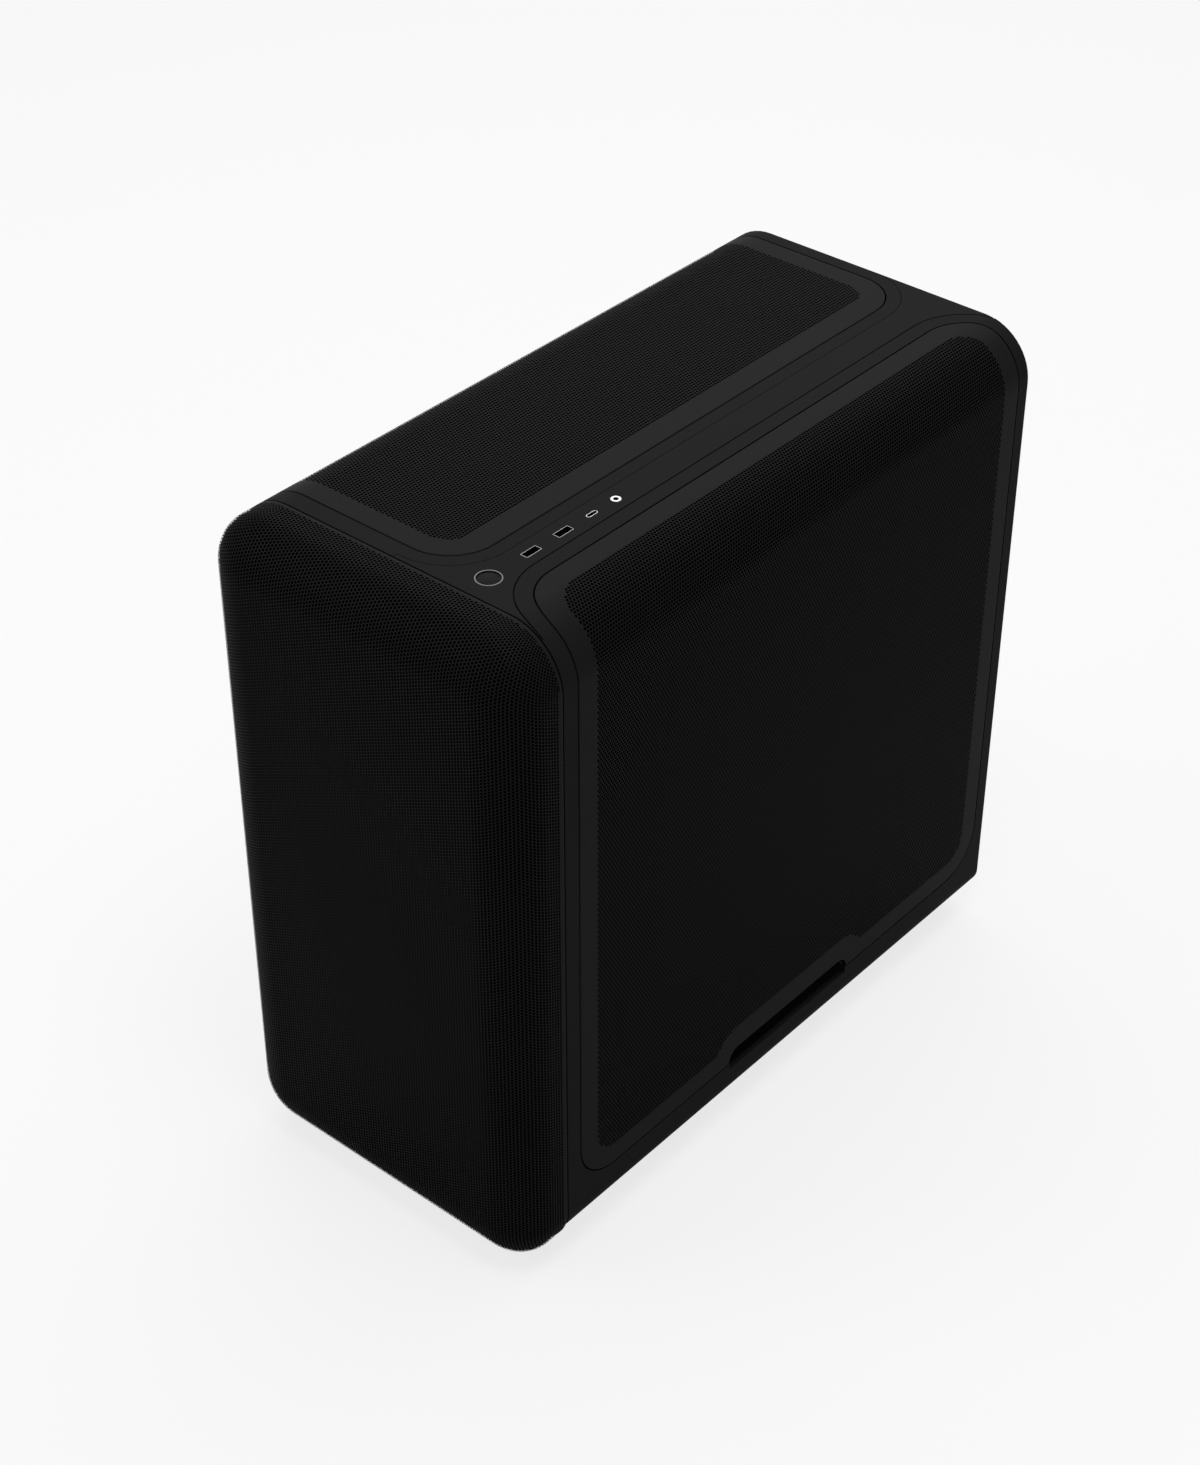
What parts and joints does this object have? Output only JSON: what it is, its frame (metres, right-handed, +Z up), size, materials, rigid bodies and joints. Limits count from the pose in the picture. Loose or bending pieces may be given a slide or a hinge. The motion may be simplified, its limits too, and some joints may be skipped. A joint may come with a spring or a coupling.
{
  "type": "computer case",
  "caption": "Mid-tower computer case with a rounded perforated front, wrapped perforated side and top panels and a saddle-shaped port strip on top.",
  "frame": {"origin": "centre of the bounding box at floor level", "axes": "-Y towards the front panel, +X towards the side panel that wraps over the top edge, +Z up"},
  "size_m": [0.2586, 0.5158, 0.5],
  "materials": {
    "frame_plastic": "fine matte texture, black",
    "strip_plastic": "fine matte texture, black",
    "panel_steel": "matte black powder coat",
    "chassis_steel": "matte black powder coat",
    "black_plastic": "moulded, matte black",
    "fan_plastic": "moulded, satin black",
    "socket_plastic": "moulded nylon, black",
    "filter_nylon": "fine black nylon mesh",
    "rubber": "soft matte black",
    "ring_metal": "bright turned edge",
    "shell_metal": "plated pressed steel",
    "stud_steel": "plated turned steel",
    "screw_steel": "black coated steel",
    "standoff_brass": "turned, plain",
    "circuit_board": "dark green solder mask"
  },
  "bodies": {
    "chassis": {"outer_frame": "frame_plastic", "port_strip": "strip_plastic", "button_ring": "ring_metal", "power_switch": "black_plastic", "usb_a_port_1": "shell_metal", "usb_a_port_2": "shell_metal", "usb_c_port": "shell_metal", "audio_jack": "ring_metal", "port_tongues": "black_plastic", "port_board": "circuit_board", "right_panel_sockets": "socket_plastic", "left_panel_sockets": "socket_plastic", "top_panel_sockets": "socket_plastic", "front_panel_sockets": "socket_plastic", "floor_pan": "chassis_steel", "rear_wall": "chassis_steel", "front_wall": "chassis_steel", "roof_plate": "chassis_steel", "motherboard_tray": "chassis_steel", "psu_shroud": "chassis_steel", "standoffs": "standoff_brass", "slot_covers": "chassis_steel", "slot_screws": "screw_steel", "cable_grommets": "rubber", "drive_cage": "chassis_steel", "ssd_bracket_1": "chassis_steel", "ssd_bracket_2": "chassis_steel", "ssd_screws": "screw_steel", "front_fan_frame_1": "fan_plastic", "front_fan_frame_2": "fan_plastic", "front_fan_frame_3": "fan_plastic", "rear_fan_frame": "fan_plastic", "fan_screws": "screw_steel", "foot_front_left": "black_plastic", "foot_front_right": "black_plastic", "foot_rear_left": "black_plastic", "foot_rear_right": "black_plastic", "foot_pads": "rubber", "filter_rails": "black_plastic"},
    "right_panel": {"right_panel": "panel_steel", "right_filter": "filter_nylon", "right_panel_studs": "stud_steel"},
    "left_panel": {"left_panel": "panel_steel", "left_filter": "filter_nylon", "left_panel_studs": "stud_steel"},
    "top_panel": {"top_panel": "panel_steel", "top_filter": "filter_nylon", "top_panel_studs": "stud_steel"},
    "front_panel": {"front_panel": "panel_steel", "front_carrier": "black_plastic", "front_filter": "filter_nylon", "front_panel_studs": "stud_steel"},
    "power_button": {"power_button": "strip_plastic"},
    "drive_tray_1": {"drive_tray_1": "black_plastic"},
    "drive_tray_2": {"drive_tray_2": "black_plastic"},
    "bottom_filter": {"bottom_filter": "filter_nylon"},
    "front_rotor_1": {"front_fan_rotor_1": "fan_plastic"},
    "front_rotor_2": {"front_fan_rotor_2": "fan_plastic"},
    "front_rotor_3": {"front_fan_rotor_3": "fan_plastic"},
    "rear_rotor": {"rear_fan_rotor": "fan_plastic"}
  },
  "joints": [
    {"name": "right_panel_off", "type": "slide", "parent": "chassis", "child": "right_panel", "axis": [1, 0, 0], "range_m": [0, 0.12]},
    {"name": "left_panel_off", "type": "slide", "parent": "chassis", "child": "left_panel", "axis": [-1, 0, 0], "range_m": [0, 0.12]},
    {"name": "top_panel_off", "type": "slide", "parent": "chassis", "child": "top_panel", "axis": [0, 0, 1], "range_m": [0, 0.1]},
    {"name": "front_panel_off", "type": "slide", "parent": "chassis", "child": "front_panel", "axis": [0, -1, 0], "range_m": [0, 0.12]},
    {"name": "power_button_press", "type": "slide", "parent": "chassis", "child": "power_button", "axis": [0, 0, -1], "range_m": [0, 0.0008], "stiffness_N_per_m": 600, "springref_m": -0.0005},
    {"name": "drive_tray_1_pull", "type": "slide", "parent": "chassis", "child": "drive_tray_1", "axis": [1, 0, 0], "range_m": [0, 0.06]},
    {"name": "drive_tray_2_pull", "type": "slide", "parent": "chassis", "child": "drive_tray_2", "axis": [1, 0, 0], "range_m": [0, 0.06]},
    {"name": "bottom_filter_pull", "type": "slide", "parent": "chassis", "child": "bottom_filter", "axis": [0, 1, 0], "range_m": [0, 0.25]},
    {"name": "front_fan_1_spin", "type": "hinge", "parent": "chassis", "child": "front_rotor_1", "pos_m": [-0.035, -0.2174, 0.145], "axis": [0, 1, 0], "continuous": true},
    {"name": "front_fan_2_spin", "type": "hinge", "parent": "chassis", "child": "front_rotor_2", "pos_m": [-0.035, -0.2174, 0.265], "axis": [0, 1, 0], "continuous": true},
    {"name": "front_fan_3_spin", "type": "hinge", "parent": "chassis", "child": "front_rotor_3", "pos_m": [-0.035, -0.2174, 0.385], "axis": [0, 1, 0], "continuous": true},
    {"name": "rear_fan_spin", "type": "hinge", "parent": "chassis", "child": "rear_rotor", "pos_m": [-0.059, 0.2221, 0.4], "axis": [0, 1, 0], "continuous": true}
  ]
}
